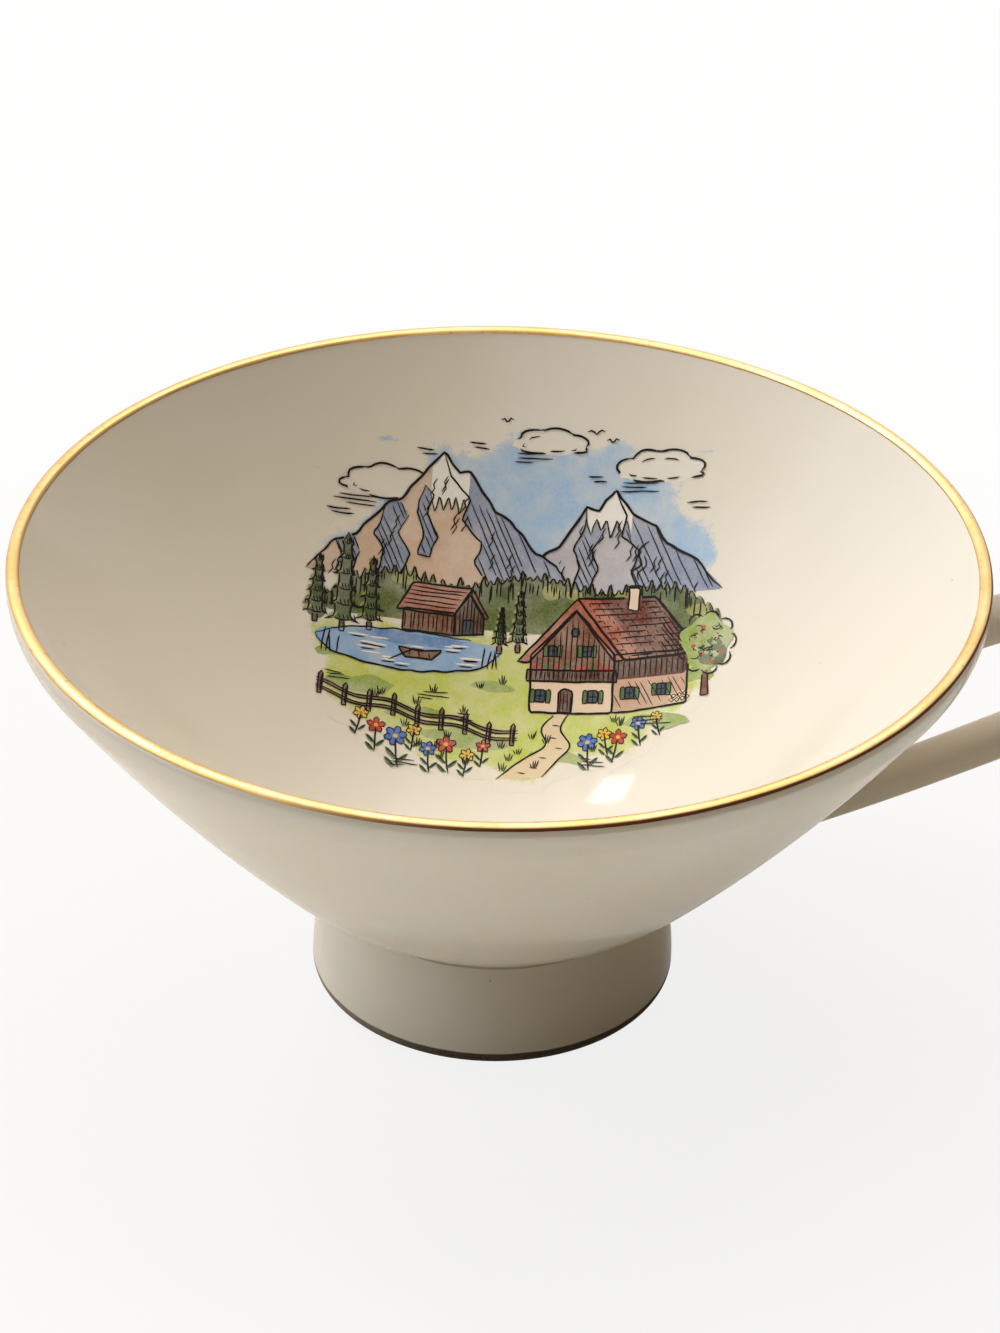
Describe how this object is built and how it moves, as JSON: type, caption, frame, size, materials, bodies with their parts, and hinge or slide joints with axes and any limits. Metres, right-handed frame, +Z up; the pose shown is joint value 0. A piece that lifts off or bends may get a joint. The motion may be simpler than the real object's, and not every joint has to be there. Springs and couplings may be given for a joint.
{
  "type": "espresso cup",
  "caption": "Flared espresso cup with a round-bottomed bowl, a low hollow foot, an upswept loop handle, a gilded lip and a picture transfer on the inside wall.",
  "frame": {"origin": "centre of the flat ring that the foot stands on, on the table plane", "axes": "+Z up along the bowl's axis, +X to the handle, +Y to the inside wall that carries the picture"},
  "size_m": [0.1027, 0.084, 0.0428],
  "materials": {
    "porcelain": "warm white porcelain under a clear gloss glaze",
    "slip": "fired slip under the same clear gloss glaze",
    "gold": "fired bright gold",
    "transfer": "fired colour transfer, slightly less glossy than the glaze"
  },
  "bodies": {
    "root": {"bowl": "porcelain", "foot": "porcelain", "handle": "porcelain", "foot_joint": "slip", "handle_upper_joint": "slip", "handle_lower_joint": "slip", "rim_gilding": "gold", "picture_transfer": "transfer"}
  },
  "joints": []
}
